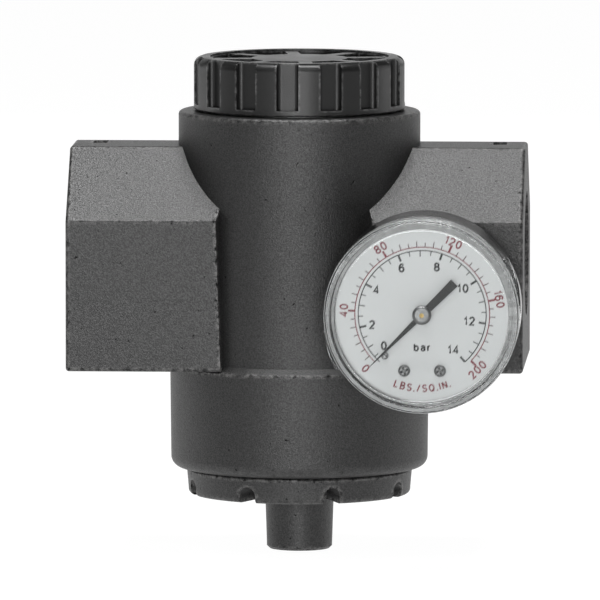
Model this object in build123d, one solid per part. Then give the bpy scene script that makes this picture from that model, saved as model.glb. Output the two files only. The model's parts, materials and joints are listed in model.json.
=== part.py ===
from build123d import *
import math
import os

# Compressed-air pressure regulator with a screwed-in dial pressure gauge.
# Millimetres.  The origin is the centre of the inlet port's mouth.
# +X runs along the ports to the outlet, -Y is the gauge side and +Z the adjusting knob.
# Each piece is drawn about the body's vertical axis, then carried to the origin when it is written.

# ---------------------------------------------------------------- driving dimensions
# body casting
PORT_FACE_X = 60.0          # from the body's axis to the outlet face; the inlet face mirrors it
BLOCK_TOP_Z = 28.5
BLOCK_TOP_HALF_Y = 10.0
BLOCK_SIDE_HALF_Y = 28.2
BLOCK_SIDE_TOP_Z = 10.3
BLOCK_BOTTOM_Z = -29.3
BLOCK_EDGE_R = 0.9
WAIST_R = 31.9
COLLAR_TOP_Z = 37.5
LOWER_R = 34.2
LOWER_TOP_Z = -29.7
LOWER_BOTTOM_Z = -56.9
LOWER_EDGE_R = 3.0
PORT_BORE_R = 16.4
PORT_DEPTH = 22.0
SLOT_X = 52.8               # shallow pockets in the narrow top faces

# chambers inside the body
PISTON_BORE_R = 24.0
BONNET_THREAD_R = 26.5
BONNET_SEAT_Z = 26.0
PISTON_FLOOR_Z = 11.0
OUTLET_CHAMBER_R = 22.0
PARTITION_TOP_Z = -2.0
PARTITION_BOTTOM_Z = -9.0
SEAT_HOLE_R = 12.0
VALVE_CHAMBER_R = 24.0
CAP_THREAD_R = 27.0
CAP_SEAT_Z = -46.0

# bonnet, knob and adjusting screw
BONNET_R = 23.4
BONNET_TOP_Z = 44.5
BONNET_BORE_R = 21.6
BONNET_CEILING_Z = 42.0
JOURNAL_R = 5.0
SCREW_R = 4.0
RUN = 0.05                  # radial running clearance
KNOB_R = 27.85
KNOB_BOTTOM_Z = 37.9
KNOB_TOP_Z = 51.8
KNOB_BORE_R = 24.2
KNOB_GROOVES = 15
KNOB_GROOVE_WIDTH = 5.8
KNOB_GROOVE_DEPTH = 2.0
KNOB_GROOVE_START = -3.6    # degrees from the front, towards the outlet
SPOKES = 8
SPOKE_WIDTH = 3.4
SPOKE_START = 99.0          # degrees, anticlockwise from +X
REST_TOP_Z = 39.5
REST_THICK = 4.0

# piston and valve
PISTON_BOTTOM_Z = 14.0
PISTON_TOP_Z = 21.0
STEM_MEET_Z = 2.0           # where the piston's stem touches the poppet's

# bottom cap
CAP_RING_R = 29.8
CAP_RING_TOP_Z = -57.2
CAP_RING_BOTTOM_Z = -64.0
BOSS_R = 9.1
BOSS_BOTTOM_Z = -78.7
NOTCHES = 8
NOTCH_START = 20.0          # degrees from the front, towards the outlet
NOTCH_R = 2.3

# gauge: local z runs forward from the block's front face, local y is up
GAUGE_X = 34.9
GAUGE_Z = -10.7
GAUGE_PORT_R = 6.5
GAUGE_PORT_DEPTH = 11.0
CASE_R = 25.2
CASE_REAR = 7.5
CASE_SHOULDER = 27.0
CASE_FRONT = 29.4
CASE_BORE_R = 23.0
LENS_R = 25.4
LENS_FRONT = 36.0
LENS_SHOULDER = 30.6        # where the lens bears on the gasket
WINDOW_R = 22.8
DIAL_R = 24.1
DIAL_BACK = 29.4
DIAL_FRONT = 30.0
POINTER_BACK = 31.8
POINTER_FRONT = 32.2
POINTER_REST = 225.0        # degrees, anticlockwise from local x
POINTER_TIP_R = 19.4
POINTER_TAIL_R = 11.9
DIAL_SCREW_X = 4.65
DIAL_SCREW_Y = -14.7

# gauge movement
MODULE = 0.25
PINION_TEETH = 12
SECTOR_TEETH = 96           # of the full circle the sector is cut from
CENTRE_DISTANCE = MODULE * (PINION_TEETH + SECTOR_TEETH) / 2
TOOTH_THICK = 0.30          # at the pitch circle, thinned for backlash
PRESSURE_ANGLE = math.radians(20)
TAIL_ARM = 3.5
TAIL_REST = -77.0           # degrees, direction of the sector's tail at rest
TUBE_R = 19.6
TUBE_THICK = 2.4
TUBE_DEPTH = 8.0
TUBE_WALL = 0.4
TUBE_MID = 17.0
TUBE_TIP_ANGLE = -15.0
TUBE_BASE_ANGLE = 255.0
TIP_PIN_R = 18.4
TIP_PIN_ANGLE = -26.0
PLATE_THICK = 1.2
BACK_PLATE = 14.0
FRONT_PLATE = 22.0
PILLARS = [(8.0, 4.0), (-8.0, 4.0), (-7.0, -12.0)]
FLANGE_BACK = 9.5
FLANGE_FRONT = 12.0
SQUARE_BACK = 1.8           # a little pipe thread shows behind the wrench square

BASE = (Align.CENTER, Align.CENTER, Align.MIN)
BODY_AXIS = Location((PORT_FACE_X, 0, 0))
GAUGE_SEAT = Plane(origin=(GAUGE_X, -BLOCK_SIDE_HALF_Y, GAUGE_Z), x_dir=(1, 0, 0), z_dir=(0, -1, 0))
GAUGE = BODY_AXIS * Location(GAUGE_SEAT)


# ---------------------------------------------------------------- helpers
def rod(radius, low, high, x=0.0, y=0.0):
    """Upright cylinder between two heights."""
    return Pos(x, y, low) * Cylinder(radius, high - low, align=BASE)


def block(width, depth, low, high, x=0.0, y=0.0):
    """Upright box between two heights."""
    return Pos(x, y, low) * Box(width, depth, high - low, align=BASE)


def turned(*outline):
    """Solid turned about Z from (radius, height) points."""
    wire = Polyline(*[(r, 0, z) for r, z in outline], close=True)
    return revolve(make_face(wire), Axis.Z)


def tube(outer, inner, low, high):
    """Plain ring between two heights."""
    return rod(outer, low, high) - rod(inner, low - 1, high + 1)


def cone_along_x(x0, r0, x1, r1, z=0.0):
    """Truncated cone along X from radius r0 at x0 to radius r1 at x1."""
    wire = Polyline((x0, 0, z), (x0, r0, z), (x1, r1, z), (x1, 0, z), close=True)
    return revolve(make_face(wire), Axis((x0, 0, z), (1, 0, 0)))


def polar(radius, degrees):
    """Point at a radius and an angle, anticlockwise from x."""
    return (radius * math.cos(math.radians(degrees)), radius * math.sin(math.radians(degrees)))


STOP_AT = polar(14.5, POINTER_REST + 3.12)     # against the pointer's lower edge


def circles_at(solid, height, radius):
    """Circular edges of a solid at one height and radius."""
    edges = solid.edges().filter_by(GeomType.CIRCLE)
    return [e for e in edges if abs(e.center().Z - height) < 0.01 and abs(e.radius - radius) < 0.02]


def coil(radius, wire_r, low, high, turns):
    """Helical compression spring whose wire just clears both heights."""
    rise = high - low - 2 * wire_r - 0.1
    path = Pos(0, 0, low + wire_r + 0.05) * Helix(rise / turns, rise, radius)
    section = Plane(origin=path @ 0, z_dir=path % 0) * Circle(wire_r)
    return sweep(section, path=path, is_frenet=True)


def involute(angle):
    return math.tan(angle) - angle


def tooth_half_angle(pitch_r, radius):
    """Half the angle that a tooth fills at a radius, in radians."""
    base_r = pitch_r * math.cos(PRESSURE_ANGLE)
    at = math.acos(min(1.0, base_r / max(radius, base_r)))
    return TOOTH_THICK / (2 * pitch_r) + involute(PRESSURE_ANGLE) - involute(at)


def gear_outline(pitch_r, tip_r, root_r, pitch_degrees, first, count):
    """Points of a run of teeth centred on first, first + pitch, ... degrees."""
    radii = [root_r, root_r + 0.4 * (tip_r - root_r), root_r + 0.7 * (tip_r - root_r), tip_r]
    points = []
    for k in range(count):
        centre = first + k * pitch_degrees
        halves = [math.degrees(tooth_half_angle(pitch_r, r)) for r in radii]
        points += [polar(r, centre - half) for r, half in zip(radii, halves)]
        points += [polar(r, centre + half) for r, half in zip(reversed(radii), reversed(halves))]
    return points


def prism(points, low, high):
    """Straight-sided solid over a closed outline."""
    return Pos(0, 0, low) * extrude(make_face(Polyline(*points, close=True)), high - low)


# ---------------------------------------------------------------- regulator
def port_blocks():
    """Left and right port blocks, with drafted hollows front and back between them."""
    half = [
        (BLOCK_TOP_HALF_Y, BLOCK_TOP_Z),
        (BLOCK_SIDE_HALF_Y, BLOCK_SIDE_TOP_Z),
        (BLOCK_SIDE_HALF_Y, BLOCK_BOTTOM_Z),
    ]
    outline = [(0, y, z) for y, z in half] + [(0, -y, z) for y, z in reversed(half)]
    solid = extrude(make_face(Polyline(*outline, close=True)), PORT_FACE_X, dir=(1, 0, 0), both=True)
    solid = fillet(solid.edges(), BLOCK_EDGE_R)
    top, bottom = 30.0, -31.0
    outer = [(-21.8, top), (21.8, top), (20.1, bottom), (-20.1, bottom)]
    inner = [(-18.9, top), (18.9, top), (15.5, bottom), (-15.5, bottom)]
    rings = [[(x, y, z) for x, z in ring] for ring, y in ((inner, -20), (outer, -30))]
    hollow = loft([make_face(Polyline(*ring, close=True)) for ring in rings])
    return solid - hollow - Rot(0, 0, 180) * hollow


def body_outside():
    collar = rod(WAIST_R, LOWER_TOP_Z, COLLAR_TOP_Z)
    collar = fillet(circles_at(collar, COLLAR_TOP_Z, WAIST_R), 1.0)
    lower = turned(
        (0, LOWER_TOP_Z + 1.6), (WAIST_R, LOWER_TOP_Z + 1.6), (LOWER_R, LOWER_TOP_Z),
        (LOWER_R - 0.3, LOWER_BOTTOM_Z), (0, LOWER_BOTTOM_Z),
    )
    lower = fillet(circles_at(lower, LOWER_BOTTOM_Z, LOWER_R - 0.3), LOWER_EDGE_R)
    solid = port_blocks() + collar + lower
    for x in (-SLOT_X, SLOT_X):
        solid -= block(3.7, 8.0, BLOCK_TOP_Z - 1.2, BLOCK_TOP_Z + 1, x, 4.2)
    return solid


def body_chambers():
    """Everything hollow on the body's vertical axis."""
    solid = rod(BONNET_THREAD_R, BONNET_SEAT_Z, COLLAR_TOP_Z + 1)
    solid += rod(PISTON_BORE_R, PISTON_FLOOR_Z, BONNET_SEAT_Z)
    solid += rod(OUTLET_CHAMBER_R, PARTITION_TOP_Z, PISTON_FLOOR_Z)
    solid += rod(SEAT_HOLE_R, PARTITION_BOTTOM_Z, PARTITION_TOP_Z)
    solid += turned((0, CAP_SEAT_Z), (VALVE_CHAMBER_R, CAP_SEAT_Z), (VALVE_CHAMBER_R, -20), (17, -9), (0, -9))
    solid += rod(CAP_THREAD_R, LOWER_BOTTOM_Z - 1, CAP_SEAT_Z)
    return solid


def body_passages():
    """Pipe ports, the passages between them and the valve, and the two gauge ports."""
    floor_x = PORT_FACE_X - PORT_DEPTH
    port = cone_along_x(floor_x, PORT_BORE_R, PORT_FACE_X + 1, PORT_BORE_R)
    port += cone_along_x(floor_x, 15.0, floor_x - 4, 11.0)
    solid = port + Rot(0, 0, 180) * port
    solid += cone_along_x(floor_x, 13.5, 19, 8.5, z=1.0)
    inlet = Plane(origin=(-42, 0, -2), z_dir=(32, 0, -18))
    solid += inlet * Cylinder(9.0, 30, align=BASE)
    for side in (-1, 1):
        thread = Pos(GAUGE_X, side * BLOCK_SIDE_HALF_Y, GAUGE_Z) * Rot(90 * side, 0, 0)
        solid += thread * rod(GAUGE_PORT_R, -1, GAUGE_PORT_DEPTH)
        solid += thread * rod(2.5, 0, BLOCK_SIDE_HALF_Y - 2)
    return solid


def regulator_body():
    return body_outside() - body_chambers() - body_passages()


def bonnet():
    """Threaded insert that closes the spring chamber and carries the adjusting screw."""
    solid = turned(
        (0, BONNET_SEAT_Z), (BONNET_THREAD_R, BONNET_SEAT_Z), (BONNET_THREAD_R, COLLAR_TOP_Z - 0.6),
        (BONNET_R, COLLAR_TOP_Z - 0.2), (BONNET_R, BONNET_TOP_Z), (0, BONNET_TOP_Z),
    )
    solid = fillet(circles_at(solid, BONNET_TOP_Z, BONNET_R), 1.2)
    solid -= rod(BONNET_BORE_R, BONNET_SEAT_Z - 1, BONNET_CEILING_Z)
    solid -= rod(JOURNAL_R + RUN, BONNET_CEILING_Z - 1, BONNET_TOP_Z + 1)
    solid -= tube(BONNET_R + 1, 22.8, 41.95, 42.95)
    for side in (-1, 1):
        solid += block(2.6, 4.0, 28.0, BONNET_CEILING_Z, side * 20.8, 0)
    return solid


def adjusting_screw():
    """Captive screw: square drive, journal, thrust collar and thread."""
    solid = block(7.0, 7.0, BONNET_TOP_Z, 49.8)
    solid += rod(JOURNAL_R, BONNET_CEILING_Z - 0.05, BONNET_TOP_Z)
    solid += rod(7.0, 40.3, BONNET_CEILING_Z - 0.05)
    solid += rod(SCREW_R, 25.0, 40.3)
    return chamfer(circles_at(solid, 25.0, SCREW_R), 0.6)


def spring_rest():
    """Nut plate that travels on the adjusting screw, keyed in the bonnet."""
    solid = rod(21.2, REST_TOP_Z - REST_THICK, REST_TOP_Z)
    solid += rod(11.0, REST_TOP_Z - REST_THICK - 2.0, REST_TOP_Z - REST_THICK)
    solid -= rod(SCREW_R + RUN, 30, 42)
    for side in (-1, 1):
        solid -= block(3.0, 4.3, 30, 42, side * 20.7, 0)
    return solid


def adjusting_knob():
    solid = rod(KNOB_R, KNOB_BOTTOM_Z, KNOB_TOP_Z)
    solid = fillet(circles_at(solid, KNOB_TOP_Z, KNOB_R), 2.3)
    solid = fillet(circles_at(solid, KNOB_BOTTOM_Z, KNOB_R), 0.4)
    groove = block(KNOB_GROOVE_WIDTH, 8.0, KNOB_BOTTOM_Z + 1.5, KNOB_TOP_Z + 4)
    groove = fillet(groove.edges().filter_by(Axis.Z), 1.2)
    groove = Pos(0, -(KNOB_R - KNOB_GROOVE_DEPTH + 4.0), 0) * groove
    for k in range(KNOB_GROOVES):
        solid -= Rot(0, 0, KNOB_GROOVE_START + k * 360 / KNOB_GROOVES) * groove
    plate_bottom = KNOB_TOP_Z - 3.0
    solid -= rod(KNOB_BORE_R, KNOB_BOTTOM_Z + 1.0, plate_bottom)
    solid -= rod(BONNET_R + 0.15, KNOB_BOTTOM_Z - 1, KNOB_BOTTOM_Z + 1.0)
    solid -= rod(23.6, KNOB_TOP_Z - 0.5, KNOB_TOP_Z + 1)
    opening = tube(23.0, 12.6, plate_bottom - 1, KNOB_TOP_Z)
    for k in range(SPOKES // 2):
        opening -= Rot(0, 0, SPOKE_START + k * 360 / SPOKES) * block(60, SPOKE_WIDTH, 40, 60)
    opening = fillet(opening.edges().filter_by(Axis.Z), 0.9)
    solid -= opening
    hub = rod(8.0, BONNET_TOP_Z + 0.5, plate_bottom)
    return solid + hub - block(7.1, 7.1, BONNET_TOP_Z, 50.2)


def knob_retainer_ring():
    """Split ring in the bonnet's groove; the knob's lip meets it when pulled up."""
    ring = tube(BONNET_R + 0.55, 22.85, 42.0, 42.9)
    return ring - block(30, 4.0, 41, 44, 20, 0)


def range_spring():
    """Coil spring that is still 0.9 mm short of solid when the spring rest is at its lowest."""
    return coil(15.5, 1.0, PISTON_TOP_Z, REST_TOP_Z - REST_THICK, 2.75)


def control_piston():
    solid = rod(PISTON_BORE_R - RUN, PISTON_BOTTOM_Z, PISTON_TOP_Z)
    solid -= tube(PISTON_BORE_R + 1, 22.0, 16.0, 19.0)
    solid += rod(12.5, PISTON_TOP_Z, PISTON_TOP_Z + 2)
    solid -= rod(9.0, PISTON_TOP_Z - 2.0, PISTON_TOP_Z + 3)
    solid += rod(4.0, STEM_MEET_Z, PISTON_BOTTOM_Z)
    return chamfer(circles_at(solid, STEM_MEET_Z, 4.0), 0.8)


def piston_seal():
    return tube(PISTON_BORE_R - 0.03, 22.0, 16.1, 18.9)


def valve_seat():
    """Orifice ring set in the partition, with a raised sealing lip underneath."""
    solid = tube(SEAT_HOLE_R, 8.0, PARTITION_BOTTOM_Z, PARTITION_TOP_Z)
    solid += tube(14.0, 8.0, PARTITION_TOP_Z, PARTITION_TOP_Z + 1.5)
    return solid + tube(9.6, 8.0, PARTITION_BOTTOM_Z - 1.2, PARTITION_BOTTOM_Z)


def valve_poppet():
    seal_low = PARTITION_BOTTOM_Z - 3.7
    solid = rod(12.0, seal_low - 2.3, seal_low)
    solid += rod(2.5, seal_low, STEM_MEET_Z)
    solid += rod(4.0, -40.0, seal_low - 2.3)
    return chamfer(circles_at(solid, -40.0, 4.0), 0.6)


def poppet_seal():
    return tube(11.0, 2.5, PARTITION_BOTTOM_Z - 3.7, PARTITION_BOTTOM_Z - 1.2)


def valve_spring():
    return coil(9.5, 0.8, CAP_SEAT_Z, PARTITION_BOTTOM_Z - 6.0, 7)


def bottom_cap():
    """Screwed plug with a castellated ring for a pin wrench and a drain-side boss."""
    ring = turned(
        (0, CAP_RING_TOP_Z), (CAP_RING_R, CAP_RING_TOP_Z),
        (CAP_RING_R - 0.6, CAP_RING_BOTTOM_Z), (0, CAP_RING_BOTTOM_Z),
    )
    ring = fillet(circles_at(ring, CAP_RING_BOTTOM_Z, CAP_RING_R - 0.6), 1.2)
    ring = fillet(circles_at(ring, CAP_RING_TOP_Z, CAP_RING_R), 0.5)
    notch = Pos(0, -17, CAP_RING_BOTTOM_Z + 2.0) * Rot(90, 0, 0) * Cylinder(NOTCH_R, 20, align=BASE)
    notch += Pos(0, -27, CAP_RING_BOTTOM_Z) * Box(2 * NOTCH_R, 20, 4.0)
    for k in range(NOTCHES):
        ring -= Rot(0, 0, NOTCH_START + k * 360 / NOTCHES) * notch
    boss = turned(
        (0, -63), (BOSS_R, -63), (BOSS_R, CAP_RING_BOTTOM_Z),
        (BOSS_R - 0.5, BOSS_BOTTOM_Z), (0, BOSS_BOTTOM_Z),
    )
    boss = chamfer(circles_at(boss, BOSS_BOTTOM_Z, BOSS_R - 0.5), 0.7)
    root = turned(
        (0, -63.5), (BOSS_R + 1.2, -63.5), (BOSS_R + 1.2, -64.0), (BOSS_R - 0.05, -65.4), (0, -65.4),
    )
    plug = rod(CAP_THREAD_R, CAP_RING_TOP_Z, CAP_SEAT_Z)
    plug -= tube(CAP_THREAD_R + 1, 25.0, -55.4, -53.2)
    guide = rod(7.0, CAP_SEAT_Z, -30)
    solid = ring + boss + root + plug
    solid -= tube(22.0, 7.0, -58.0, CAP_SEAT_Z + 1)
    solid += tube(12.0, 6.9, -58.5, CAP_SEAT_Z)
    return solid + guide - rod(SCREW_R + RUN, -70, -29)


def bottom_cap_oring():
    return Pos(0, 0, -54.3) * Torus(25.98, 0.96)


def rear_port_plug():
    """Socket-head pipe plug in the unused rear gauge port."""
    solid = rod(GAUGE_PORT_R, -9.5, -0.8)
    solid = chamfer(circles_at(solid, -0.8, GAUGE_PORT_R), 0.6)
    solid -= Pos(0, 0, -6.8) * extrude(RegularPolygon(3.2, 6, major_radius=False), 8)
    rear = Plane(origin=(GAUGE_X, BLOCK_SIDE_HALF_Y, GAUGE_Z), x_dir=(-1, 0, 0), z_dir=(0, 1, 0))
    return rear * solid


# ---------------------------------------------------------------- gauge, in its local frame
def gauge_case():
    solid = turned(
        (0, CASE_REAR), (CASE_R, CASE_REAR), (CASE_R, CASE_SHOULDER),
        (CASE_R - 0.9, CASE_SHOULDER), (CASE_R - 0.9, CASE_FRONT), (0, CASE_FRONT),
    )
    solid = fillet(circles_at(solid, CASE_REAR, CASE_R), 1.4)
    solid -= rod(CASE_BORE_R, FLANGE_BACK, CASE_FRONT + 1)
    solid -= rod(6.55, CASE_REAR - 1, FLANGE_BACK + 1)
    for x in (-12, 12):
        solid -= rod(1.0, CASE_REAR - 1, FLANGE_BACK + 1, x, 0)
    return solid


def lens_lug(start):
    """Cam-shaped tab on the lens skirt: a sharp step, then a long fading run."""
    run, height, inside = 52.0, 1.3, LENS_R - 0.5
    fractions = [0.0, 0.2, 0.4, 0.6, 0.8, 1.0]
    cam = Spline(*[polar(LENS_R + height * (1 - t) ** 1.6, start - 1.5 - run * t) for t in fractions])
    low, middle, high = [polar(inside, start - part * run) for part in (1.1, 0.5, 0.0)]
    outline = [Line(high, cam @ 0), cam, Line(cam @ 1, low), ThreePointArc(low, middle, high)]
    return Pos(0, 0, CASE_SHOULDER + 0.2) * extrude(make_face(outline), 4.6)


def gauge_lens():
    """Clear snap-on lens: flat window, raised rim, and a skirt with two lugs over the case."""
    skirt_inner = CASE_R - 0.85
    solid = turned(
        (0, 34.2), (0, 35.7), (WINDOW_R, 35.7), (WINDOW_R + 0.5, LENS_FRONT), (LENS_R - 1.1, LENS_FRONT),
        (LENS_R, LENS_FRONT - 1.1), (LENS_R, CASE_SHOULDER + 0.2), (skirt_inner, CASE_SHOULDER + 0.2),
        (skirt_inner, LENS_SHOULDER), (WINDOW_R, LENS_SHOULDER), (WINDOW_R, 34.2),
    )
    return solid + lens_lug(35.0) + lens_lug(215.0)


def lens_gasket():
    return tube(DIAL_R, WINDOW_R + 0.1, DIAL_FRONT, LENS_SHOULDER)


def gauge_dial():
    solid = rod(DIAL_R, DIAL_BACK, DIAL_FRONT)
    solid -= rod(1.4, DIAL_BACK - 1, DIAL_FRONT + 1)
    solid -= rod(0.5, DIAL_BACK - 1, DIAL_FRONT + 1, *STOP_AT)
    for side in (-1, 1):
        solid -= rod(0.8, DIAL_BACK - 1, DIAL_FRONT + 1, side * DIAL_SCREW_X, DIAL_SCREW_Y)
    return solid


def pan_screw(head_r, head_low, head_high, shank_r, shank_end):
    """Pan-head screw on the local axis with a crossed recess."""
    head = rod(head_r, head_low, head_high)
    head = fillet(circles_at(head, head_high, head_r), 0.6 * (head_high - head_low))
    depth = 0.6 * (head_high - head_low)
    for turn in (20, 110):
        head -= Rot(0, 0, turn) * block(1.3 * head_r, 0.36 * head_r, head_high - depth, head_high + 1)
    return head + rod(shank_r, shank_end, head_low)


def dial_screws():
    screw = pan_screw(1.55, DIAL_FRONT, DIAL_FRONT + 1.1, 0.75, 26.0)
    return [Pos(side * DIAL_SCREW_X, DIAL_SCREW_Y, 0) * screw for side in (-1, 1)]


def dial_posts():
    """Two posts standing on the front plate that carry the dial."""
    post = rod(1.5, FRONT_PLATE + PLATE_THICK, DIAL_BACK) + rod(0.9, FRONT_PLATE, FRONT_PLATE + PLATE_THICK)
    post -= rod(0.75, 25.5, DIAL_BACK + 1)
    return [Pos(side * DIAL_SCREW_X, DIAL_SCREW_Y, 0) * post for side in (-1, 1)]


def stop_pin():
    """Pin that the pointer rests on at zero, without load, riveted through the dial."""
    solid = rod(0.5, DIAL_BACK, DIAL_FRONT) + rod(0.95, DIAL_FRONT, DIAL_FRONT + 1.0)
    solid = fillet(circles_at(solid, DIAL_FRONT + 1.0, 0.95), 0.3)
    solid += rod(0.45, DIAL_FRONT + 1.0, POINTER_FRONT + 0.6)
    return Pos(*STOP_AT, 0) * solid


def pointer():
    """Tapering blade with a broad square tail."""
    blade = [(0, -0.78), (POINTER_TIP_R, -0.06), (POINTER_TIP_R, 0.06), (0, 0.78)]
    tail = [(0, -0.9), (-POINTER_TAIL_R, -1.22), (-POINTER_TAIL_R, 1.22), (0, 0.9)]
    solid = prism(blade, POINTER_BACK, POINTER_FRONT) + prism(tail, POINTER_BACK, POINTER_FRONT)
    solid += rod(2.1, POINTER_BACK, POINTER_FRONT)
    solid -= rod(1.2, POINTER_BACK - 1, POINTER_FRONT + 1)
    return Rot(0, 0, POINTER_REST) * solid


def pointer_hub():
    """Domed cap and bush, pressed on the pinion's arbor."""
    solid = rod(2.5, POINTER_FRONT, POINTER_FRONT + 1.3)
    solid = fillet(circles_at(solid, POINTER_FRONT + 1.3, 2.5), 0.9)
    solid += rod(1.2, POINTER_BACK - 0.8, POINTER_FRONT)
    return solid - rod(0.6, 30, 35)


def tube_section(margin):
    """Flattened section of the Bourdon tube, in the plane through the gauge's axis."""
    section = SlotOverall(TUBE_DEPTH - 2 * margin, TUBE_THICK - 2 * margin, rotation=90)
    plane = Plane(origin=(TUBE_R, 0, TUBE_MID), x_dir=(1, 0, 0), z_dir=(0, -1, 0))
    return plane * section


def tube_bend(margin, start, end):
    swept = revolve(tube_section(margin), Axis.Z, end - start)
    return Rot(0, 0, start) * swept


def bourdon_tube():
    """C-shaped flattened tube, open at its base and closed by the tip's cap."""
    base = TUBE_BASE_ANGLE + 3
    return tube_bend(0, TUBE_TIP_ANGLE, base) - tube_bend(TUBE_WALL, TUBE_TIP_ANGLE, base)


def gauge_socket():
    """Brass pipe stem, wrench square, mounting flange and holder for the Bourdon tube."""
    solid = rod(GAUGE_PORT_R, -10.5, SQUARE_BACK)
    solid = chamfer(circles_at(solid, -10.5, GAUGE_PORT_R), 0.8)
    square = block(14.0, 14.0, SQUARE_BACK, 6.9)
    solid += chamfer(square.edges(), 0.5)
    solid += rod(6.5, 6.9, FLANGE_BACK) + rod(15.5, FLANGE_BACK, FLANGE_FRONT)
    arm = Rot(0, 0, TUBE_BASE_ANGLE)
    solid += arm * block(9.0, 7.0, FLANGE_BACK, FLANGE_FRONT, 17.5, 0)
    solid += arm * block(4.2, 6.4, FLANGE_BACK, 21.8, 19.9, 0)
    solid -= tube_bend(0, TUBE_BASE_ANGLE - 20, TUBE_BASE_ANGLE + 3)
    solid -= rod(1.5, -11, 10.8) + rod(2.0, -11, -7.0)
    feed = Plane(origin=(0, 0, 10.75), x_dir=(0, 0, 1), z_dir=(*polar(1, TUBE_BASE_ANGLE), 0))
    solid -= feed * Cylinder(0.8, TUBE_R + 0.6, align=BASE)
    solid -= arm * rod(0.8, 10.75, 14.0, TUBE_R, 0)
    for x in (-12, 12):
        solid -= rod(1.0, FLANGE_BACK - 1, FLANGE_FRONT + 1, x, 0)
    return solid


def restrictor():
    """Screwed orifice that damps pressure shocks."""
    solid = rod(2.0, -10.5, -7.0) - rod(0.4, -11, -6)
    return solid - block(5, 0.6, -11, -9.8)


def case_screws():
    screw = pan_screw(2.0, 0, 1.4, 1.0, -4.4)
    return [Pos(x, 0, CASE_REAR) * Rot(180, 0, 0) * screw for x in (-12, 12)]


def tip_pin_at():
    return polar(TIP_PIN_R, TIP_PIN_ANGLE)


def tail_pin_at():
    x, y = polar(TAIL_ARM, TAIL_REST)
    return (x, y - CENTRE_DISTANCE)


def tube_tip():
    """End cap brazed on the tube's free end, with the lug for the link."""
    sweep_angle = 6.0
    start = TUBE_TIP_ANGLE - sweep_angle
    section = Plane(origin=(TUBE_R, 0, TUBE_MID), x_dir=(1, 0, 0), z_dir=(0, -1, 0)) * Rectangle(2.9, 8.4)
    cap = Rot(0, 0, start) * revolve(section, Axis.Z, sweep_angle)
    lug_low, lug_high = 16.6, 17.8
    x, y = tip_pin_at()
    lug = rod(1.3, lug_low, lug_high, x, y)
    inner, outer = polar(TIP_PIN_R - 0.2, start + 0.3), polar(TIP_PIN_R + 1.6, start + 0.3)
    away_in, away_out = polar(TIP_PIN_R - 1.25, TIP_PIN_ANGLE), polar(TIP_PIN_R + 1.25, TIP_PIN_ANGLE)
    lug += prism([inner, outer, away_out, away_in], lug_low, lug_high)
    return cap + lug - rod(0.45, 16, 19, x, y)


def link():
    """Flat strip from the sector's tail to the tube's tip."""
    (x0, y0), (x1, y1) = tail_pin_at(), tip_pin_at()
    angle = math.degrees(math.atan2(y1 - y0, x1 - x0))
    length = math.hypot(x1 - x0, y1 - y0)
    solid = rod(1.0, 18.1, 18.7) + rod(1.25, 18.1, 18.7, length, 0)
    solid += block(length, 1.4, 18.1, 18.7, length / 2, 0)
    solid -= rod(0.5, 18, 19)
    solid -= rod(0.68, 18, 19, length, 0)
    return Pos(x0, y0, 0) * Rot(0, 0, angle) * solid


def headed_pin(low, high, at):
    solid = rod(0.45, low, high) + rod(0.85, high, high + 0.35)
    return Pos(*at, 0) * solid


def link_tail_pin():
    return headed_pin(17.0, 18.75, tail_pin_at())


def link_tip_pin():
    return headed_pin(16.6, 18.75, tip_pin_at())


def sector_gear():
    """Toothed sector with its arbor and tail."""
    pitch_r = MODULE * SECTOR_TEETH / 2
    pitch_degrees = 360 / SECTOR_TEETH
    first, count = 90 - 10 * pitch_degrees, 12
    last = first + (count - 1) * pitch_degrees
    teeth = gear_outline(pitch_r, pitch_r + 0.2, pitch_r - 0.32, pitch_degrees, first, count)
    rim = [polar(9.6, last + 2)] + [polar(9.6, a) for a in (last - 10, first + 10)] + [polar(9.6, first - 2)]
    solid = prism(teeth + rim, 17.0, 18.0)
    for angle in (first + 1, last - 1):
        solid += Rot(0, 0, angle) * block(10.0, 1.3, 17.0, 18.0, 5.0, 0)
    solid += rod(1.9, 16.6, 18.4)
    tail = Rot(0, 0, TAIL_REST)
    solid += tail * (block(TAIL_ARM, 2.2, 17.0, 18.0, TAIL_ARM / 2, 0) + rod(1.1, 17.0, 18.0, TAIL_ARM, 0))
    solid -= tail * rod(0.45, 16, 19, TAIL_ARM, 0)
    solid += rod(0.7, BACK_PLATE - 0.2, FRONT_PLATE + PLATE_THICK + 0.2)
    return Pos(0, -CENTRE_DISTANCE, 0) * solid


def pinion():
    """Twelve-leaf pinion on the pointer's arbor."""
    pitch_r = MODULE * PINION_TEETH / 2
    step = 360 / PINION_TEETH
    outline = gear_outline(pitch_r, pitch_r + 0.2, pitch_r - 0.32, step, -90 + step / 2, PINION_TEETH)
    solid = prism(outline, 16.6, 18.4) + rod(0.6, BACK_PLATE - 0.2, POINTER_FRONT + 1.2)
    return solid + rod(1.0, 19.2, 20.4)


def spiral_edge(offset):
    """Archimedean edge of the hairspring strip."""
    turns, first_r, last_r, steps = 4.0, 1.05, 5.1, 40
    return [
        polar(first_r + (last_r - first_r) * k / steps + offset, 360 * turns * k / steps)
        for k in range(steps + 1)
    ]


def hairspring():
    inner, outer = Spline(*spiral_edge(0.0)), Spline(*spiral_edge(0.14))
    outline = [inner, Line(inner @ 1, outer @ 1), outer, Line(outer @ 0, inner @ 0)]
    return Pos(0, 0, 19.5) * extrude(make_face(outline), 0.6)


def hairspring_stud():
    """Stud in the front plate that holds the hairspring's outer end."""
    return rod(0.5, 19.2, FRONT_PLATE + PLATE_THICK, 5.76, 0)


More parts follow.
